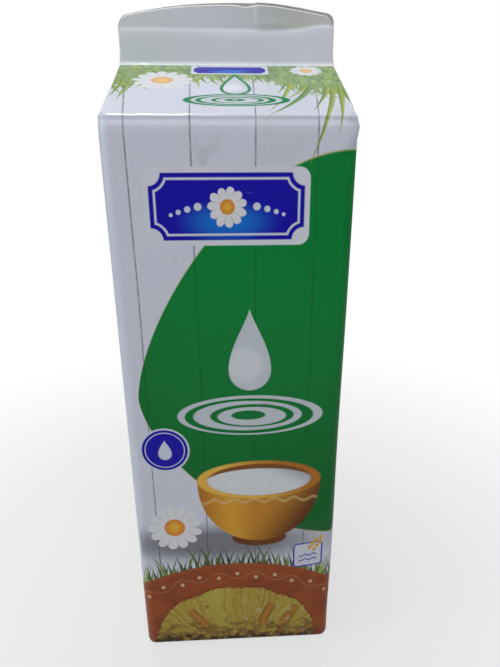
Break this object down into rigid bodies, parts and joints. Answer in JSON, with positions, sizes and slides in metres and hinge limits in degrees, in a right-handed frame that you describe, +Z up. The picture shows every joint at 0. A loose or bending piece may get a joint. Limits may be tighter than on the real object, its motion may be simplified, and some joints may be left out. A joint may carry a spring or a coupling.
{
  "type": "gable-top drink carton",
  "caption": "Tall square paperboard drink carton, shut, with a gable roof, folded-in side gussets and a flat sealed fin with an arched top.",
  "frame": {"origin": "on the floor under the middle of the base", "axes": "+Z up, +X across the front wall to its right as seen from in front, front wall faces -Y, fin runs along X"},
  "size_m": [0.07, 0.07, 0.2213],
  "materials": {
    "coated_board": "satin"
  },
  "bodies": {
    "root": {"carton": "coated_board"}
  },
  "joints": []
}
